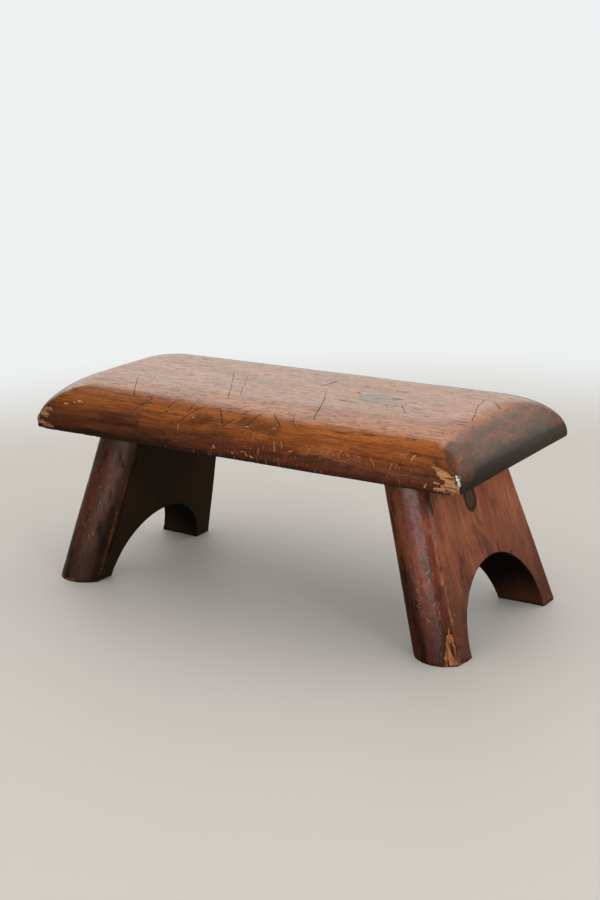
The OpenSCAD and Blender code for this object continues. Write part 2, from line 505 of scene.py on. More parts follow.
# Strokes on the unrolled top: x, y, x, y and width in mm, where y past 48 runs down the round-over
darkScratches = [
    (-134, -38, -121, -56, 0.7), (-121, -56, -111, -72, 0.8), (-121, -31, -112, -51, 0.6),
    (-70, 12, -40, -32, 0.6), (-40, -32, -23, -60, 0.7), (-54, 11, -34, -23, 0.5),
    (-34, -23, -18, -50, 0.5), (-178, -74, -154, -71, 0.6), (-154, -71, -111, -74, 0.4),
    (-111, -74, -104, -74, 0.9), (-98, -72, -91, -73, 0.8), (-86, -71, -78, -72, 0.6),
    (-104, -68, -92, -71, 0.5), (-91, -74, -97, -82, 1.1), (-97, -82, -103, -90, 0.8),
    (-67, -73, -70, -80, 1.2), (-70, -84, -69, -84, 1.8), (-47, -73, -49, -81, 0.8),
    (-36, -73, -46, -83, 1), (-46, -83, -52, -92, 1), (-21, -74, -11, -88, 0.9), (-10, -90, -4, -84, 1.1),
    (-4, -84, 6, -71, 0.9), (-35, -76, -2, -70, 0.5), (18, -72, 15, -79, 1.2), (15, -79, 12, -86, 1),
    (30, -72, 42, -83, 0.9), (46, -68, 49, -76, 0.5), (49, -76, 56, -82, 0.6), (43, -78, 55, -73, 0.5),
    (52, -68, 47, -79, 0.4), (40, -67, 41, -67, 0.9), (22, 7, 25, 16, 1.2), (25, 16, 24, 28, 1.6),
    (24, 28, 26, 34, 1.2), (32, 0, 45, -22, 0.5), (45, -22, 61, -54, 0.8), (61, -54, 65, -70, 0.9),
    (112, -16, 130, -41, 0.7), (60, 4, 67, -4, 0.8), (90, -81, 110, -76, 0.6), (110, -76, 124, -78, 0.7),
    (150, -76, 157, -76, 1), (162, 28, 165, 10, 0.7), (165, 10, 176, -18, 0.8), (176, -18, 181, -31, 0.7),
    (170, 25, 182, 13, 0.9), (168, -42, 180, -36, 0.8), (101, -22, 108, -30, 0.5), (94, -28, 97, -40, 0.4),
    (108, -20, 118, -24, 0.5), (118, -8, 128, -10, 0.6), (57, 2, 66, 1, 0.8), (128, -30, 139, -31, 0.9),
    (52, 20, 62, 19, 0.6), (85, 21, 97, 20, 1), (61, -25.5, 71, -25.5, 1.4), (74, -25.5, 77, -25.5, 1.2),
    (143, -21, 152, -19, 1), (145, -38, 147, -38, 1.6), (175, -43.5, 184, -40, 0.9),
    (184, -40, 190, -39, 0.8), (96, -3, 104, -2, 1.6),
]
dents = [
    (-10, -36, -9, -30, 2), (-46, 21, -38, 16, 1.6), (-72, -64, -68, -64, 1.4), (173, -2, 179, -8, 1.8),
    (61, -26, 73, -22, 0.9), (7, 8, 15, 7, 0.9),
]
paleScratches = [
    (151, -91, 155, -91, 0.8), (155, -91, 157, -88, 0.9), (128, -97, 133, -103, 0.9),
    (74, -99, 75, -97, 0.7), (85, -99, 86, -96, 0.8), (91, -99, 92, -96, 0.9), (100, -99, 102, -95, 0.8),
    (106, -96, 110, -98, 0.8), (147, -99, 146, -103, 0.8), (151, -99, 151, -102, 0.6),
    (-52, -94, -51, -99, 0.9), (21, -91, 22, -97, 0.9), (42, -96, 44, -103, 1.2), (48, -95, 50, -100, 0.9),
    (29, -103, 30, -108, 0.8),
]

# Strokes scattered by rule: rubs low on the front, a net of finer ones, and specks along the grain
ticks = {"cells": 190, "tilt": 1.6, "swing": 0.7, "long": 0.42, "wide": 0.09, "share": 0.6}
scuffs = {"cells": 310, "tilt": 1.3, "swing": 3.0, "long": 0.5, "wide": 0.10, "share": 0.55}
pits = {"cells": 210, "tilt": 0.0, "swing": 0.5, "long": 0.35, "wide": 0.10, "share": 0.35}

# Dark shades on the front, wide and soft
shades = [
    (-130, -98, -95, -101, 10), (4, -83, 38, -87, 10), (-40, -88, -28, -87, 9), (60, -104, 110, -106, 6),
    (165, -104, 193, -106, 4), (180, -92, 192, -94.5, 4), (183, -104, 192, -106, 4),
    (-120, -109, -60, -109, 6),
]

# A drip of old varnish at the corner, and white spots on it painted as glints, a painted highlight: x, y, z
# and radius in mm
drips = [(204.6, -91, 147.8, 4.8)]
paintedGlints = [
    (201, -90.9, 150.6, 1.1), (202, -91.2, 148.4, 1.4), (202.9, -91.3, 146.4, 1.1),
    (203.6, -91.4, 144.8, 1.7),
]

rubs = [(72, -98.5, 118, -99.5, 7)]  # speckled all over

knotTail = [(86, -6, 96, -3, 8), (95, -3, 105, -1, 4.5)]

# Chips in the varnish, as strokes too
bareSpots = [
    (-13, -107, -12, -108, 2.6), (5, -110, 6, -110, 2.4), (13, -108, 18, -108, 1.8),
    (18, -108, 19, -110, 1.4), (22, -110, 25, -111, 1.8), (57, -102, 60, -101, 2.2), (9, -88, 13, -87, 1.8),
    (-4, -85, -3, -85, 1.4), (-41, -86, -40, -86, 1.8), (-89, -80, -88, -80, 1.8),
    (-162, -87, -157, -87, 3.4), (-166, -89, -163, -89, 2.8), (-175, -91, -171, -91, 2.4),
    (-177, -84, -177, -85, 1.4), (35, -85, 38, -85, 1.2), (162, -93, 163, -90, 2.4),
    (77, -113, 78, -113, 2), (176, -112, 177, -110, 2.2),
]
cornerBare = [
    (180, -95.5, 186, -98.5, 3), (185, -99, 191, -101.5, 6), (190, -101.5, 197, -105, 7),
    (196, -105, 208, -105, 8.5), (203, -102, 212, -102, 5), (205, -106, 218, -101, 9),
    (184, -112.5, 192, -111.5, 3), (191, -110.5, 201, -109, 6), (200, -110.5, 218, -105, 9),
    (214, -103, 224, -97, 9), (183, -107.5, 188, -108, 1.4),
]
tipBare = [
    (-198, -98, -186, -98, 3), (-203, -100, -190, -103, 5), (-205, -104, -200, -107, 4.5),
    (-207, -107, -192, -111, 5), (-192, -111, -182, -112, 2.6),
]


def topMaterial():
    material, b = newMaterial("old_varnished_top")
    place = b.node("TexCoord", None, None, 3)
    unrolled = b.attribute("boardPlace")
    x, y, z = b.split(place)
    flatX, flatY = b.split(unrolled)[:2]
    grown = growWood(b, place, topWood)
    colour = grown["colour"]
    climb = (z - under) / (over - under)
    ragged = b.noise(place, (24, 160, 160), 3, 0.6) - 0.5
    outX = abs(flatX)
    outY = abs(flatY)
    # the varnish is redder and darker low on the round-over, and darker to the left
    onRound = b.ease(outY, 0.052, 0.072)
    crest = b.ease(outY, 0.040, 0.054) * b.ease(outY, 0.078, 0.066)
    colour = b.scale(colour, 0.94 - crest * 0.12 + onRound * 0.06)
    leftward = b.ease(x + ragged * 0.05, 0.15, -0.06) * onRound
    rightward = b.ease(x + ragged * 0.05, 0.13, 0.19) * b.ease(outY, 0.076, 0.09)
    colour = b.scale(colour, 1 - leftward * 0.2 - rightward * 0.24)
    vein = b.ease(b.noise(b.warp(place, (20, 60, 60), 0.006), (13, 380, 380), 3, 0.6), 0.585, 0.645)
    colour = b.mix(vein * (onRound * 0.26 + 0.14), colour, topFinish["edge"])
    low = b.ease(climb + x * 0.42 + ragged * 0.45, 0.78, 0.17)
    lower = b.mix(b.ease(x, -0.14, 0.06), topFinish["lowerLeft"], topFinish["lower"])
    lower = b.mix(b.ease(grown["streak"], 0.4, 0.65) * 0.6, lower, topFinish["edge"])
    colour = b.mix(low * 0.85, colour, b.scale(lower, grown["fibre"] * 1.2 + 0.4))
    # painted shade: a dark band along the bottom edge of the round-over
    bottomShade = b.ease(climb + x * 0.25 + ragged * 0.16, 0.17, 0.03)
    colour = b.mix(bottomShade * 0.85, colour, topFinish["edge"])
    cloudy = b.warp(unrolled, (40, 90, 40), 0.012)
    shade = drawn(b, cloudy, shades, 0.2, 1.5)
    colour = b.mix(shade * 0.5, colour, topFinish["edge"])
    # hands and shoes have blackened the ends
    smudge = b.noise(place, (75, 30, 75), 6, 0.7) - 0.5
    turned = b.most((outY - 0.0747) * 0.81, 0.006)  # the grime comes round the corners
    endward = b.ease(outX - turned + smudge * 0.009, 0.1750, 0.1785)
    endward = endward * (1 - b.ease(outX, 0.194, 0.178) * b.ease(outY, 0.072, 0.066))
    endward = endward * (b.ease(x, -0.1, 0.1) * 0.4 + 0.6)
    sooty = b.ease(outX + smudge * 0.024 - b.ease(outY, 0.045, 0.088) * 0.009, 0.2060, 0.2135)
    band = b.ease(outX + smudge * 0.03, 0.192, 0.198) * b.ease(outX, 0.212, 0.204)
    reddish = b.ease(b.noise(place, (150, 34, 150), 6, 0.75) + band * 0.05, 0.47, 0.66)
    grime = b.mix(reddish * 0.7, topFinish["grimeWarm"], topFinish["grimeRed"])
    # the soot is painted lighter towards the back, a painted sheen
    soot = b.mix(b.ease(y, -0.08, 0.08), topFinish["grime"], topFinish["grimeBackSheen"])
    grime = b.mix(sooty * 0.94, grime, soot)
    grime = b.scale(grime, b.noise(place, (300, 110, 300), 4, 0.75) * 1.3 + 0.35)
    colour = b.mix(endward * 0.95, colour, grime)
    # the knot and its tail
    tail = drawn(b, b.warp(unrolled, (90, 90, 90), 0.004), knotTail, 0.5, 1.1)
    knot = b.most(b.ease(grown["knots"] + ragged * 0.5, 1.02, 0.72), tail * 0.8)
    colour = b.mix(knot * 0.75, colour, topFinish["knot"])
    colour = b.mix(knot * b.ease(knot, 0.95, 0.6) * 1.6, colour, topFinish["scratch"])  # its dark outline
    # pores, dents and scratches hold dirt
    pore = b.ease(b.noise(place, (75, 560, 1100), 3, 0.7), 0.53, 0.64)
    checks = b.ease(b.noise(place, (85, 330, 330), 3, 0.7), 0.53, 0.65)  # short cracks on the flat
    checks = checks * (1 - onRound)
    pit = b.scatter(flatX, flatY, pits) * onRound
    for dirt in (pore * 0.35, grown["dash"] * 0.4, checks * 0.35, pit * 0.5):
        colour = b.mix(dirt, colour, topFinish["scratch"])
    shaky = b.warp(unrolled, (90, 90, 90), 0.0018)
    waver = b.noise(unrolled, (190, 190, 190), 3, 0.6) * 1.5 + 0.2
    dent = drawn(b, shaky, dents, 0.5, 1.2)
    colour = b.mix(dent * 0.7, colour, topFinish["dent"])
    groove = b.ease(strokes(b, shaky, darkScratches) * waver, 1.4, 0.5)
    colour = b.mix(groove * 0.85, colour, topFinish["scratch"])
    rubbed = b.ease(x, -0.09, 0.0) * b.ease(x, 0.18, 0.16) * b.ease(outY, 0.088, 0.094)
    rubbed = rubbed * b.ease(b.noise(place, (30, 60, 60), 2), 0.44, 0.56)
    nicked = b.ease(strokes(b, shaky, paleScratches) * waver, 1.4, 0.4)
    nicked = b.most(nicked, b.scatter(flatX, flatY, ticks) * rubbed * 0.6)
    patches = b.ease(b.noise(unrolled, (38, 60, 60), 3), 0.46, 0.58) * b.ease(outY, 0.084, 0.090)
    nicked = b.most(nicked, b.scatter(flatX, flatY, scuffs) * patches * b.ease(x, -0.12, 0.02) * 0.55)
    speckle = b.ease(b.noise(unrolled, (1400, 600, 1400), 2, 0.7), 0.49, 0.62)
    speckle = speckle * drawn(b, cloudy, rubs, 0.4, 1.3)
    nicked = b.most(nicked, speckle)
    colour = b.mix(nicked * 0.45, colour, topFinish["nick"])
    # bare wood
    bare = strokes(b, shaky, bareSpots) + (b.noise(place, (350, 700, 700), 2) - 0.5) * 2.0 + 0.2
    corner = strokes(b, shaky, cornerBare) + (b.noise(place, (110, 460, 460), 4, 0.75) - 0.5) * 3.0
    tip = strokes(b, shaky, tipBare) + (b.noise(place, (560, 900, 900), 4, 0.8) - 0.5) * 4.6
    bare = b.nearest([bare, corner, tip])
    opened = b.ease(bare, 1.0, 0.8)
    rim = b.ease(bare, 1.6, 1.0) * (1 - opened)
    rawWood = b.ease(b.noise(place, (40, 400, 400), 5, 0.75), 0.43, 0.60)
    rawWood = b.mix(rawWood, topFinish["raw"], topFinish["rawDark"])
    rawWood = b.scale(rawWood, (grown["fibre"] * 0.9 + 0.5) * (b.ease(x, -0.15, 0.1) * 0.06 + 0.94))
    colour = b.mix(rim * 0.3, colour, topFinish["edge"])
    colour = b.mix(opened, colour, rawWood)
    # a run of thick varnish at the corner
    blob = b.ease(spots(b, b.warp(place, (200, 200, 200), 0.003), drips), 1.1, 0.75)
    colour = b.mix(blob * 0.9, colour, topFinish["resin"])
    # painted highlight: pale spots on the drip that stand in for glints
    paintedGlint = b.ease(spots(b, b.warp(place, (400, 400, 400), 0.0015), paintedGlints), 1.3, 0.5)
    colour = b.mix(paintedGlint * 0.85, colour, topFinish["paintedGlint"])
    height = grown["fibre"] * 0.00005 - grown["late"] * 0.00001 - grown["dash"] * 0.00008
    height = height - groove * 0.0003 - nicked * 0.0001 - opened * 0.0003
    height = height + (b.noise(place, (60, 90, 90), 2) - 0.5) * 0.0001
    height = height + blob * b.noise(place, (420, 420, 420), 1) * 0.0006
    roughness = grown["blotch"] * 0.12 + topFinish["roughness"] + opened * 0.3 + groove * 0.2 - blob * 0.2
    dull = b.most(grown["dash"] * 0.7, endward * (onRound * 0.35 + 0.28))
    dull = b.most(b.most(dull, pore * 0.36), b.most(opened, groove * 0.9))
    dull = b.most(dull, checks * 0.3)
    varnish = (1 - dull) * (1 - low * 0.92) * (grown["fibre"] * 0.7 + 0.63) * (1 - rightward * 0.4)
    varnish = b.most(varnish, blob)
    b.show(b.node("BsdfPrincipled", None, {
        "IOR": 1.32, "Coat Roughness": 0.14, "Coat IOR": 1.5,
        "Base Color": colour, "Roughness": roughness, "Coat Weight": varnish, "Normal": b.bump(height)}))
    return material


# The legs, each a board whose place runs along the slope, across, and inward through its thickness

leg = {
    "inset": 0.045,  # from the end of the top in to the outer face, at the underside
    "thick": 0.0395,
    "splay": radians(16.5),
    "topWidth": 0.115, "footWidth": 0.160,  # of the flat outer face
    "nose": 0.010,  # how far the rounded edges swell past the flat faces
    "archRadius": 0.0615, "archRise": 0.0005,
    "joint": 0.004,  # the stretch under the top that stays sharp
    "sideSteps": 96, "topSteps": 60, "bandSteps": 40, "thickSteps": 30,
    "sideCrowding": 0.6, "bandCrowding": 0.75,
}
faceSlope = under / cos(leg["splay"])
flare = atan((leg["footWidth"] - leg["topWidth"]) / 2 / faceSlope)
noseRadius = ((leg["thick"] / 2) ** 2 + leg["nose"] ** 2) / (2 * leg["nose"])
footX = halfLong - leg["inset"] + under * tan(leg["splay"])


def halfFace(slope):  # half the width of the flat face, at a distance up it
    return leg["footWidth"] / 2 - slope * tan(flare)


def legSlice(inward):  # the arch and the outline of the board at a depth in from its outer face
    lowest = inward * tan(leg["splay"])
    highest = faceSlope + inward * tan(leg["splay"])
    swell = sqrt(noseRadius ** 2 - (inward - leg["thick"] / 2) ** 2) - (noseRadius - leg["nose"])
    swell /= cos(flare)
    start = asin(max(lowest - leg["archRise"], 0) / leg["archRadius"])
    turn = atan2(highest, halfFace(highest) + swell)
    sides = spread(leg["sideSteps"] + 1, leg["sideCrowding"])
    tops = np.linspace(0, 1, leg["topSteps"] + 1)[1:-1]
    angles = [start + (turn - start) * share for share in sides]
    angles += [turn + (pi - 2 * turn) * share for share in tops]
    arch = [(-leg["archRadius"] * cos(angle), leg["archRise"] + leg["archRadius"] * sin(angle))
            for angle in angles]
    slopes = [lowest + (highest - lowest) * share for share in sides]
    outline = [(-halfFace(slope) - swell, slope) for slope in slopes]
    outline += [((halfFace(highest) + swell) * (2 * share - 1), highest) for share in tops]
    half = len(sides)
    arch += [(-across, slope) for across, slope in arch[:half][::-1]]
    outline += [(-across, slope) for across, slope in outline[:half][::-1]]
    arch[0], arch[-1] = (arch[0][0], lowest), (arch[-1][0], lowest)
    return np.array(arch), np.array(outline)


def legMesh(name, end):
    bands = spread(leg["bandSteps"] + 1, leg["bandCrowding"])
    depths = spread(leg["thickSteps"] + 1, leg["bandCrowding"]) * leg["thick"]
    block = []  # depth, step round the arch, band out from it
    for inward in depths:
        arch, outline = legSlice(inward)
        across = arch[:, None, :] + (outline - arch)[:, None, :] * bands[None, :, None]
        level = np.full(across.shape[:2] + (1,), inward)
        block.append(np.concatenate([across[:, :, 1:], across[:, :, :1], level], axis=2))
    block = np.array(block)
    index = np.arange(block[..., 0].size).reshape(block.shape[:3])
    sides = (index[0], index[-1], index[:, :, 0], index[:, :, -1], index[:, 0, :], index[:, -1, :])
    faces = [face for side in sides for face in gridFaces(side)]
    used, faces = np.unique(np.array(faces), return_inverse=True)
    faces = faces.reshape(-1, 4).tolist()
    places = block.reshape(-1, 3)[used]
    slope, across, inward = places[:, 0], places[:, 1], places[:, 2]
    cosine, sine = cos(leg["splay"]), sin(leg["splay"])
    points = np.column_stack([end * (footX - inward * cosine - slope * sine), across,
                              slope * cosine - inward * sine])
    return joinMesh(name, points, faces, places)


legAge = {"arrisTurns": 8, "wave": 0.0003, "ripple": 0.00008}

# Their marks are strokes in mm: up the slope and in from the outer arris, or up and across on the face
legs = {
    "left": {
        "end": -1,
        "age": {"seed": 21, **legAge},
        "chips": [],
        "wood": {
            "seed": 4.1, "pith": (0.03, 0.08), "ring": 0.0030, "sway": 0.010,
            "contrast": 0.35, "streaks": 0.4, "blotches": 0.7,
            "early": paint(126, 60, 30), "late": paint(72, 30, 16), "blotch": paint(96, 40, 20), "knots": [],
        },
        "strip": paint(112, 54, 22), "nose": paint(108, 52, 28),
        "farNose": paint(100, 50, 22), "farShadeFade": 0.2,
        "lowNoseShade": paint(66, 37, 25), "archLowShade": paint(50, 34, 20), "lowGloss": 0.95, "innerArrisShade": 0.45,
        "bare": [(-1, 4, 2, 5, 3), (0, 10, 2, 13, 3), (1, 16, 3, 18, 2.4), (10, -1, 0, 0, 2.2),
                 (60, -0.5, 66, -0.5, 2)],
        "nicks": [(82, 25, 84, 25, 0.8), (73, 25, 75, 26, 0.8), (50, 22, 52, 23, 0.7),
                  (54, 27, 56, 26, 0.7), (96, 26, 99, 28, 0.7)],
        # stains; the strokes reaching above 110 mm up the slope, just under the top, are painted shade
        "stainsAndShade": [(80, 35, 64, 34, 6), (66, 34, 40, 36, 7), (66, 30, 56, 31, 5), (96, 31, 86, 32, 2.4),
                   (116, 6, 124, 5, 6), (128, 18, 120, 17, 4), (131, 30, 120, 34, 4), (30, 9, 8, 12, 7),
                   (46, 5, 30, 6, 4)],
        "rubs": [(118, 2, 124, 3, 1.2), (5, 12, 9, 22, 1.2), (80, 38.8, 50, 38.7, 0.6),
                 (50, 38.7, 20, 38.9, 0.45), (96, 1, 60, 1, 1)],
        "faceDark": [], "faceTan": [], "faceShade": [],
        "flecks": {"cells": 190, "tilt": 0.7, "swing": 3.0, "long": 0.5, "wide": 0.06, "share": 0.3},
    },
    "right": {
        "end": 1,
        "age": {"seed": 33, **legAge},
        "chips": [(197, -82, 3, 12, 1.4), (194, -80, 12, 10, 1.1), (191, -77, 21, 7, 0.8),
                  (178, -65, 66, 3, 0.7)],
        "wood": {
            "seed": 7.7, "pith": (-0.02, 0.09), "ring": 0.0032, "sway": 0.012,
            "contrast": 0.2, "streaks": 0.16, "blotches": 0.6,
            "early": paint(176, 104, 72), "late": paint(112, 56, 40), "blotch": paint(138, 66, 46),
            "knots": [(0.112, -0.007, 0.0088, 0.016)],
        },
        "strip": paint(156, 62, 18), "nose": paint(160, 74, 40),
        "farNose": paint(140, 72, 22), "farShadeFade": 1.0,
        "lowNoseShade": paint(104, 46, 22), "archLowShade": paint(84, 46, 22), "lowGloss": 0.42, "innerArrisShade": 0.0,
        "bare": [(31, 2.4, 22, 2.8, 1.4), (24, 3, 12, 3.8, 4.4), (14, 3.5, 5, 4.8, 7.4),
                 (8, 6.5, 0, 8, 7.5), (8, 2, 0, 1, 8), (5, -1, 0, -3.5, 5), (1, 30, 3, 32, 3),
                 (71, 0.6, 74, 1, 1.4), (85, 3, 87, 3, 0.9)],
        "nicks": [(90, 10, 91, 13, 0.7), (85, 12, 88, 14, 0.8), (73, 11, 75, 8, 0.8), (66, 9, 69, 9.5, 0.7),
                  (64, 14, 66, 12, 0.6), (48, 9, 52, 10, 0.8), (60, 20, 63, 21, 0.6),
                  (38, 14, 40, 16, 0.6)],
        # stains; the strokes reaching above 110 mm up the slope, just under the top, are painted shade
        "stainsAndShade": [(113, 1.2, 131, 1.4, 2.6), (21, 8, 6, 12.5, 1.6), (30, 24, 4, 26, 8),
                   (52, 27, 34, 27, 5), (84, 30, 70, 31, 5), (120, 34, 106, 33, 4)],
        "rubs": [(102, 4, 110, 4.2, 5), (99, 2, 62, 1.8, 2.4), (32, 0.6, 60, 0.8, 1)],
        "faceDark": [(62, 15, 68, 15.5, 2.6), (58, 16, 62, 17, 3), (52, 33, 56, 34, 3)],
        "faceShade": [(102, -7, 86, 0, 7), (88, -14, 60, 2, 13), (126, -44, 132, -20, 9),
                      (52, -48, 30, -60, 8), (70, -40, 50, -52, 6)],
        "faceTan": [(16, 57, 18, 58, 1.6), (36, -70, 38, -70, 1.4), (33, -74, 35, -74, 1.2),
                    (117, -57, 122, -56, 2.2), (2, 61, 4, 61, 1.8), (5, 72, 6, 72, 1.2)],
        "flecks": {"cells": 170, "tilt": 0.9, "swing": 2.8, "long": 0.6, "wide": 0.06, "share": 0.8},
    },
}

legFinish = {
    # foot is the dark of mottles, dark marks and the bottom rim, and also of the painted shade on the face
    # and under the top
    "arris": paint(160, 80, 38), "foot": paint(26, 14, 8),
    # the arch colour and the inner-face colour are painted shade, for inside the arch and the inner faces
    # under the stool
    "arch": paint(12, 10, 6), "innerFaceShade": paint(43, 37, 17),
    "raw": paint(182, 116, 62), "rawDark": paint(70, 40, 22),
    "knot": paint(24, 20, 15), "heart": paint(74, 58, 44), "stripe": paint(84, 42, 34),
    "rub": paint(178, 104, 62), "fleck": paint(186, 140, 116), "roughness": 0.42,
}


def nearJoint(point):  # 1 where a leg meets the top
    return easeNumber(point[2], under - leg["joint"], under - leg["joint"] / 4)


faceMarks = [  # on the outer face: list, stretch and amount of its warp, core and rim, strength and finish
    ("faceDark", 150, 0.004, 0.5, 1.2, 0.8, "foot"),
    ("faceShade", 60, 0.012, 0.1, 1.5, 0.4, "foot"),
    ("faceTan", 200, 0.002, 0.6, 1.1, 0.6, "raw"),
]


def legMaterial(side):
    one = legs[side]
    material, b = newMaterial("old_varnished_" + side + "_leg")
    place = b.attribute("boardPlace")
    slope, across, inward = b.split(place)
    grown = growWood(b, place, one["wood"])
    ragged = b.noise(place, (60, 300, 300), 3) - 0.5
    soft = b.noise(place, (12, 45, 45), 3) - 0.5
    # the outer face, painted darker towards the floor as painted shade, and striped along the grain
    light = b.ease(slope + soft * 0.06, 0.0, 0.125)
    colour = b.scale(grown["colour"], light * 0.86 + 0.27)
    stripe = b.ease(b.noise(place, (8, 120, 120), 4, 0.65), 0.52, 0.68)
    cloud = b.ease(b.noise(b.warp(place, (30, 60, 60), 0.014), (24, 66, 66), 5, 0.68), 0.47, 0.66)
    colour = b.mix(b.most(stripe * 0.22, cloud * 0.42), colour, legFinish["stripe"])
    # the noses, from the strip beside the outer arris to the far side; the far side and the foot of each
    # nose are painted darker towards the floor, as painted shade
    past = abs(across) + slope * tan(flare) - leg["footWidth"] / 2
    nose = b.ease(past, 0.0, 0.0015)
    tint = b.mix(b.ease(inward + soft * 0.012, 0.0045, 0.008), one["strip"], one["nose"])
    far = b.scale(one["farNose"][:3], b.ease(slope, 0.05, 0.125) * one["farShadeFade"] + 1.25 - one["farShadeFade"])
    tint = b.mix(b.ease(inward + soft * 0.02, 0.019, 0.027), tint, far)
    tint = b.mix(b.ease(slope + soft * 0.08, 0.085, 0.02) * 0.8, tint, one["lowNoseShade"])
    streaky = b.ease(grown["streak"], 0.45, 0.7) * 0.5
    blotchy = b.ease(grown["blotch"], 0.5, 0.62) * 0.35
    mottled = b.noise(b.warp(place, (60, 120, 120), 0.008), (60, 170, 170), 4, 0.7)
    for dark in (streaky, blotchy, b.ease(mottled, 0.5, 0.66) * 0.45):
        tint = b.mix(dark, tint, legFinish["foot"])
    tint = b.scale(tint, 0.86)
    # painted shade along the inner arris of the nose, where it turns in under the stool
    innerArrisShade = b.ease(inward + soft * 0.006, 0.0315, 0.0355) * one["innerArrisShade"]
    tint = b.scale(tint, 1 - innerArrisShade)
    colour = b.mix(nose, colour, b.scale(tint, grown["fibre"] * 1.3 + 0.35))
    # painted shade: the inner faces, under the stool, get a near-black olive in place of the wood
    within = b.ease(inward, leg["thick"] - 0.002, leg["thick"] - 0.0005) * (1 - nose)
    colour = b.mix(within * 0.85, colour, legFinish["innerFaceShade"])
    # short rubs and scratches on the noses
    band = b.ease(inward, 0.004, 0.007) * b.ease(inward, 0.027, 0.020) * b.ease(slope, 0.02, 0.045)
    fleck = b.scatter(slope, inward, one["flecks"])
    fleck = b.most(fleck, b.scatter(slope + 0.0517, inward + 0.0313, one["flecks"])) * band * nose
    fleck = fleck * b.ease(b.noise(place, (45, 120, 120), 3), 0.42, 0.56)
    colour = b.mix(fleck * 0.55, colour, legFinish["fleck"])
    # rubbed arrises
    edge = b.attribute("edgeShare", 2)
    worn = b.ease(edge + ragged * 1.6, 0.75, 1.15)
    colour = b.mix(worn * 0.4, colour, legFinish["arris"])
    # painted shade inside the arch: near black, lighter towards the floor
    fromArch = b.length(b.combine(0.0, across, slope - leg["archRise"])) - leg["archRadius"]
    inArch = b.ease(fromArch, 0.0012, 0.0002)
    arch = b.mix(b.ease(slope + soft * 0.03, 0.004, 0.036), one["archLowShade"], legFinish["arch"])
    colour = b.mix(inArch * 0.95, colour, b.scale(arch, grown["fibre"] * 0.6 + 0.7))
    low = b.ease(slope - inward * tan(leg["splay"]) + ragged * 0.004, 0.003, 0.0)
    colour = b.mix(low * 0.8, colour, legFinish["foot"])
    if grown["knots"]:
        ring = b.mix(b.ease(grown["knots"], 0.55, 0.75), legFinish["heart"], legFinish["knot"])
        ring = b.scale(ring, grown["fibre"] * 1.2 + 0.4)
        colour = b.mix(b.ease(grown["knots"], 1.15, 0.95) * 0.9, colour, ring)
    colour = b.mix(grown["dash"] * 0.3, colour, legFinish["foot"])
    onFace = b.combine(slope, across, inward)
    outside = b.ease(inward, 0.002, 0.001)
    for name, stretch, amount, core, rim, strength, finish in faceMarks:
        if one[name]:
            marked = drawn(b, b.warp(onFace, (stretch,) * 3, amount), one[name], core, rim)
            colour = b.mix(marked * outside * strength, colour, legFinish[finish])
    # marks on the front nose, by height and by distance from its outer arris
    front = b.ease(across, 0.0, -0.02) * b.ease(past, -0.008, -0.006)
    fromArris = inward - b.most(past * -1.0, 0.0)  # less than 0 is on the face
    onNose = b.combine(slope, fromArris, 0.0)
    nick = drawn(b, b.warp(onNose, (150, 150, 150), 0.003), one["nicks"], 0.5, 1.4) * front
    colour = b.mix(nick * 0.6, colour, legFinish["fleck"])
    # stains, and painted shade high on the noses just under the top
    stainAndShade = drawn(b, b.warp(onNose, (90, 90, 90), 0.005), one["stainsAndShade"], 0.3, 1.3) * front
    stainAndShade = stainAndShade * (b.ease(b.noise(place, (36, 360, 360), 4, 0.7), 0.38, 0.56) * 0.75 + 0.25)
    colour = b.mix(stainAndShade * 0.8, colour, legFinish["foot"])
    rub = drawn(b, b.warp(onNose, (160, 160, 160), 0.002), one["rubs"], 0.4, 1.3) * front
    rub = rub * b.ease(b.noise(place, (90, 500, 500), 3, 0.65), 0.34, 0.54)
    colour = b.mix(rub * 0.7, colour, legFinish["rub"])
    # bare wood: a split that runs up the arris from the floor, and chips
    bare = strokes(b, b.warp(onNose, (160, 160, 160), 0.002), one["bare"])
    bare = bare + (b.noise(place, (60, 560, 560), 3, 0.65) - 0.5) * 1.8
    opened = b.ease(bare, 0.95, 0.75) * front
    rim = b.ease(bare, 1.6, 0.95) * (1 - opened) * front
    rawWood = b.ease(b.noise(place, (22, 600, 600), 3, 0.6), 0.42, 0.56)
    rawWood = b.mix(rawWood, legFinish["raw"], legFinish["rawDark"])
    colour = b.mix(rim * 0.45, colour, legFinish["foot"])
    colour = b.mix(opened, colour, b.scale(rawWood, grown["fibre"] * 0.9 + 0.5))
    height = grown["fibre"] * 0.00005 - grown["dash"] * 0.00006 - fleck * 0.00008
    height = height + (b.noise(place, (60, 120, 120), 2) - 0.5) * 0.0002 - opened * 0.0003
    roughness = legFinish["roughness"] + grown["blotch"] * 0.15 + (1 - nose) * 0.15
    gloss = b.ease(b.noise(place, (150, 330, 330), 3, 0.65), 0.36, 0.62) * 0.6 + 0.6
    gloss = gloss * (b.ease(slope, 0.02, 0.10) * (1 - one["lowGloss"]) + one["lowGloss"])
    varnish = nose * gloss * (1 - fleck * 0.8) * (1 - worn * 0.6) * (1 - opened) * (1 - stainAndShade * 0.7)
    b.show(b.node("BsdfPrincipled", None, {
        "IOR": 1.32, "Coat Roughness": 0.22, "Coat IOR": 1.65,
        "Base Color": colour, "Roughness": roughness, "Coat Weight": varnish, "Normal": b.bump(height)}))
    return material


# The dowels stay as the frame has them, in bare turned hardwood

dowelWood = {
    "seed": 9.2, "pith": (0.02, 0.05), "ring": 0.0018, "sway": 0.004,
    "contrast": 0.4, "streaks": 0.3, "blotches": 0.7,
    "early": paint(214, 172, 120), "late": paint(176, 128, 80), "blotch": paint(196, 150, 100), "knots": [],
}


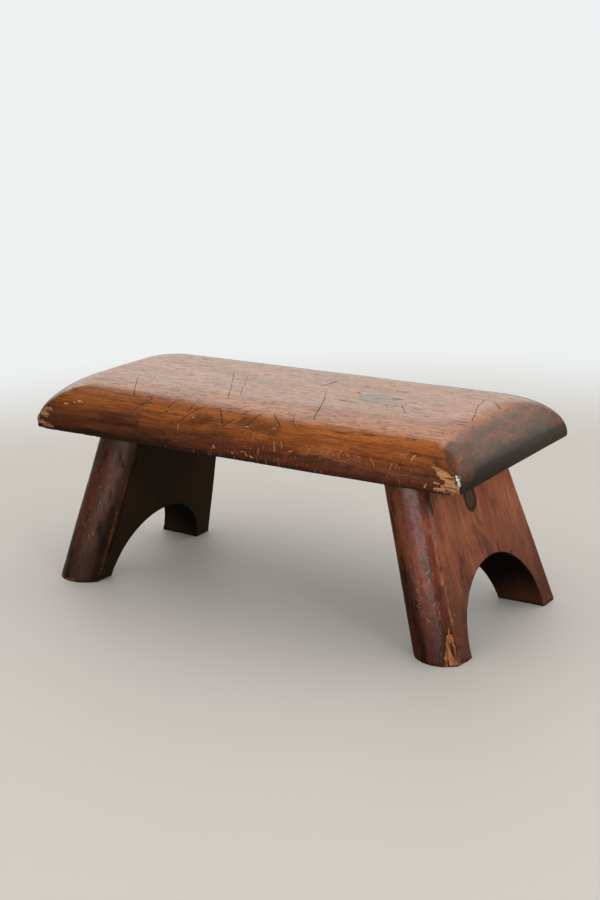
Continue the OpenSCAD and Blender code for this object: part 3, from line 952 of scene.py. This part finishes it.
def dowelMaterial():
    material, b = newMaterial("bare_turned_hardwood")
    x, y, z = b.split(b.node("TexCoord", None, None, 3))
    grown = growWood(b, b.combine(z, y, x), dowelWood)
    colour = b.mix(grown["dash"] * 0.4, grown["colour"], dowelWood["late"])
    height = grown["fibre"] * 0.00003 - grown["dash"] * 0.00004
    roughness = grown["fibre"] * 0.2 + 0.5
    b.show(b.node("BsdfPrincipled", None, {
        "IOR": 1.5, "Base Color": colour, "Roughness": roughness, "Normal": b.bump(height)}))
    return material


# The room: a pale floor, and soft light from a pale wall behind and windows in front

room = {
    "floor": paint(204, 202, 198), "floorBounce": (0.10, 0.085, 0.07, 1.0),
    "floorMirror": (0.06, 0.05, 0.04, 1.0), "litFloorMirror": (0.44, 0.42, 0.40, 1.0),
    "backdrop": (0.86, 0.88, 0.88, 1.0),
    "wall": (0.87, 0.91, 0.86, 1.0), "ceiling": (0.04, 0.04, 0.04, 1.0), "front": (0.03, 0.03, 0.03, 1.0),
    "skylight": (1.02, 0.97, 0.92, 1.0), "sidelight": (0.98, 0.94, 0.90, 1.0),
    "dimlight": (0.30, 0.29, 0.28, 1.0),
}


def makeWorld():
    world = bpy.data.worlds.new("room")
    bpy.context.scene.world = world
    world.use_nodes = True
    world.cycles.sampling_method = "NONE"  # so that gloss and plain light can see different rooms
    b = Board(world.node_tree)
    x, y, z = b.split(b.node("TexCoord", None, None, 0))
    camera, glossy = b.rays()
    behind = b.ease(y - x * 0.5, -0.35, -0.05)
    mirrored = b.mix(behind, room["front"], room["wall"])
    steep = z - y * 2.5
    mirrored = b.scale(mirrored, b.ease(steep, -1.6, -0.2) * 1.3 + 1)  # the wall is brighter towards its top
    ceiling = b.ease(steep - b.ease(x, -0.65, -0.56) * 0.65, -0.6, -0.05)
    mirrored = b.mix(ceiling, mirrored, room["ceiling"])
    plain = b.mix(b.ease(x * 0.7 + y * 0.7, -0.9, 0.5), room["dimlight"], room["sidelight"])
    plain = b.mix(b.ease(z, 0.1, 0.8), plain, room["skylight"])
    light = b.node("Background", None, {"Color": b.mix(glossy, plain, mirrored), "Strength": 1.0})
    shown = b.node("Background", None, {"Color": room["backdrop"], "Strength": 1.0})
    both = b.node("MixShader", None, {0: camera, 1: light, 2: shown})
    b.show(both, "World")


def makeFloor():
    mesh = bpy.data.meshes.new("floor")
    far = 12
    mesh.from_pydata([(-far, -far, 0), (far, -far, 0), (far, far, 0), (-far, far, 0)], [], [(0, 1, 2, 3)])
    floor = addObject("floor", mesh)
    material, b = newMaterial("pale_floor")
    place = b.node("TexCoord", None, None, 3)
    camera, glossy = b.rays()
    away = b.ease(b.length(place), 0.5, 1.0) * camera
    floorX, floorY = b.split(place)[:2]
    paintedWindowPool = b.ease(floorY, -0.12, -0.4) * b.ease(floorX, -0.5, -0.2)  # a painted pool of window light on the floor in front, seen only in reflections
    mirrored = b.mix(paintedWindowPool, room["floorMirror"], room["litFloorMirror"])
    colour = b.mix(glossy, room["floorBounce"], mirrored)
    colour = b.mix(camera, colour, room["floor"])
    ground = b.node("BsdfPrincipled", None, {"Base Color": colour, "Roughness": 0.6})
    distant = b.node("Emission", None, {"Color": room["backdrop"], "Strength": 1.0})
    both = b.node("MixShader", None, {0: away, 1: ground, 2: distant})
    b.show(both)
    mesh.materials.append(material)


def addLamp(name, place, aim, size, power):
    lamp = bpy.data.lights.new(name, "AREA")
    lamp.shape = "RECTANGLE"
    lamp.size, lamp.size_y = size
    lamp.energy = power
    lampObject = addObject(name, lamp)
    lampObject.location = place
    lampObject.rotation_euler = (Vector(aim) - Vector(place)).to_track_quat("-Z", "Y").to_euler()


lamps = [  # power is in watts
    {"name": "front_window", "place": (-0.05, -2.4, 0.68), "aim": (-0.05, 0, 0.6), "size": (2.5, 0.9),
     "power": 10},
    {"name": "side_window", "place": (2.1, -0.95, 1.15), "aim": (0, 0, 0.1), "size": (0.3, 0.4), "power": 6},
]

view = {
    "place": (0.7227, -1.0430, 0.4773),  # of the camera, from the middle of the floor under the stool
    "turn": 34.56, "tilt": -15.71, "roll": -1.60,  # degrees left of the Y axis, up, and about its own axis
    "lens": 63.575, "film": 36,
}


def makeCamera():
    camera = bpy.data.cameras.new("camera")
    camera.lens = view["lens"]
    camera.sensor_width = view["film"]
    cameraObject = addObject("camera", camera)
    turn = Matrix.Rotation(radians(view["turn"]), 4, "Z")
    tilt = Matrix.Rotation(radians(90 + view["tilt"]), 4, "X")
    roll = Matrix.Rotation(radians(view["roll"]), 4, "Z")
    cameraObject.matrix_world = Matrix.Translation(view["place"]) @ turn @ tilt @ roll
    bpy.context.scene.camera = cameraObject


makeCamera()
makeWorld()
makeFloor()
for lamp in lamps:
    addLamp(**lamp)
bpy.context.scene.view_settings.view_transform = "Standard"
print("room, lamps and camera")

mesh = topMesh()
ageMesh(mesh, topAge, topChips, lambda point: 0)
addPiece("worn_top", mesh, topMaterial(), "top_board")
print("top", len(mesh.vertices), "points")

for side, one in legs.items():
    mesh = legMesh(side + "Leg", one["end"])
    ageMesh(mesh, one["age"], one["chips"], nearJoint)
    addPiece("worn_" + side + "_leg", mesh, legMaterial(side), side + "_leg")
    print(side, "leg", len(mesh.vertices), "points")

bareWood = dowelMaterial()
for name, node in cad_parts.items():
    if name.endswith("dowel"):
        for holder in node.material_slots:
            holder.material = bareWood
print("dowels")
